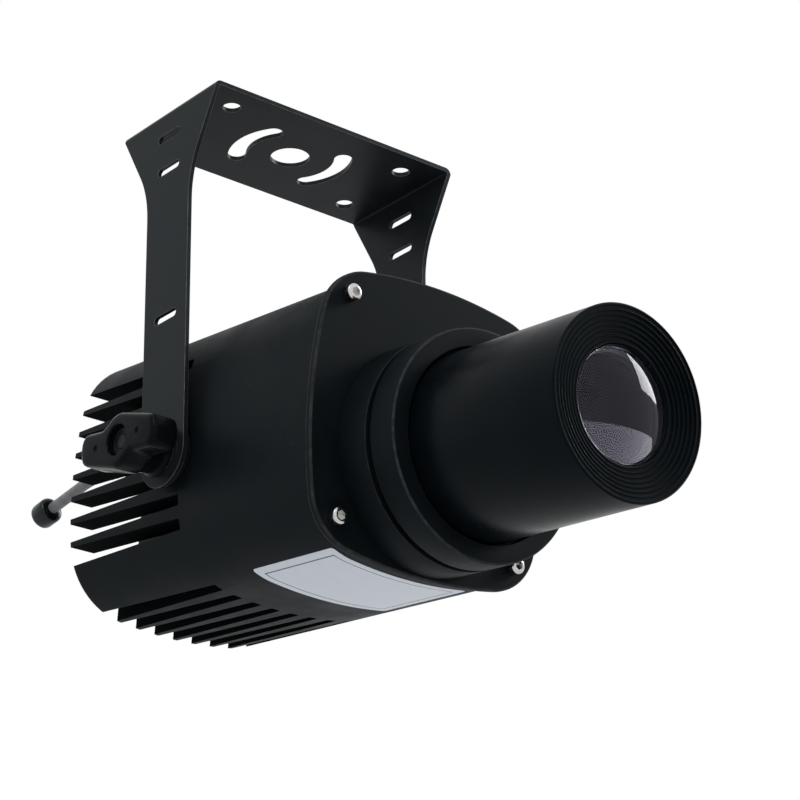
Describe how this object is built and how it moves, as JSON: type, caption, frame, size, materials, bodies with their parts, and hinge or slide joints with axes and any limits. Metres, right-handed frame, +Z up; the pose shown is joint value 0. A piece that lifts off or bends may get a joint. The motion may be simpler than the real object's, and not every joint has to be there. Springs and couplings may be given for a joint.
{
  "type": "gobo projector",
  "caption": "LED gobo projector: finned lamp housing with a focusing lens barrel, tilting in a sheet-metal hanging yoke with clamp knobs.",
  "frame": {"origin": "middle of the hanging hole, on the top face of the yoke's plate", "axes": "+Z up out of the plate; the lens looks along -Y, 6.13 degrees below level at rest; X runs across, along the tilt axis"},
  "size_m": [0.1772, 0.3305, 0.228],
  "materials": {
    "yoke": "satin black paint on 2 mm sheet",
    "housing": "fine-textured satin black on die-cast metal",
    "barrel": "smooth black anodised",
    "knob": "moulded, slight sheen",
    "black_plastic": "moulded",
    "steel": "bright zinc or stainless",
    "bare_aluminium": "machined",
    "glass": "polished, anti-reflection coated",
    "fibre": "pressed fibre",
    "led": "phosphor dome on a bare board",
    "driver": "plain metal case",
    "label": "pale satin film",
    "lead": "smooth grey sheath"
  },
  "bodies": {
    "yoke": {"yoke_bracket": "yoke"},
    "head": {"housing": "housing", "front_cover": "housing", "cover_screw_1": "steel", "cover_screw_2": "steel", "cover_screw_3": "steel", "cover_screw_4": "steel", "lens_mount": "housing", "mount_screw_1": "steel", "mount_screw_2": "steel", "mount_screw_3": "steel", "mount_screw_4": "steel", "gobo_disc": "glass", "gobo_clip": "steel", "lens_collar": "housing", "heat_sink": "bare_aluminium", "led_module": "led", "condenser_holder": "bare_aluminium", "condenser_lens_rear": "glass", "condenser_spacer": "bare_aluminium", "condenser_lens_front": "glass", "condenser_ring": "bare_aluminium", "condenser_screw_1": "steel", "condenser_screw_2": "steel", "led_driver": "driver", "fan_frame": "black_plastic", "fan_post_1": "steel", "fan_post_2": "steel", "fan_post_3": "steel", "fan_post_4": "steel", "fan_screw_1": "steel", "fan_screw_2": "steel", "fan_screw_3": "steel", "fan_screw_4": "steel", "cable_bracket": "housing", "strain_relief": "black_plastic", "lead_inside": "lead", "power_lead": "lead", "lead_end": "black_plastic", "rating_label": "label", "pivot_insert_left": "steel", "friction_washer_left": "fibre", "pivot_insert_right": "steel", "friction_washer_right": "fibre"},
    "focus_barrel": {"lens_barrel": "barrel", "front_lens": "glass", "front_retainer": "barrel", "rear_lens": "glass", "rear_retainer": "barrel"},
    "knob_left": {"knob_left": "knob", "knob_washer_left": "steel", "knob_screw_left": "steel"},
    "knob_right": {"knob_right": "knob", "knob_washer_right": "steel", "knob_screw_right": "steel"},
    "fan": {"fan_rotor": "black_plastic"}
  },
  "joints": [
    {"name": "head_tilt", "type": "hinge", "parent": "yoke", "child": "head", "pos_m": [0, 0, -0.1605], "axis": [1, 0, 0], "range_deg": [-72, 234]},
    {"name": "focus_slide", "type": "slide", "parent": "head", "child": "focus_barrel", "axis": [0, -0.9943, -0.1068], "range_m": [-0.0075, 0.009]},
    {"name": "knob_left_turn", "type": "hinge", "parent": "head", "child": "knob_left", "pos_m": [0, 0, -0.1605], "axis": [1, 0, 0], "continuous": true},
    {"name": "knob_right_turn", "type": "hinge", "parent": "head", "child": "knob_right", "pos_m": [0, 0, -0.1605], "axis": [1, 0, 0], "continuous": true},
    {"name": "fan_spin", "type": "hinge", "parent": "head", "child": "fan", "pos_m": [0, 0.03699, -0.1509], "axis": [0, 0.9943, 0.1068], "continuous": true}
  ]
}
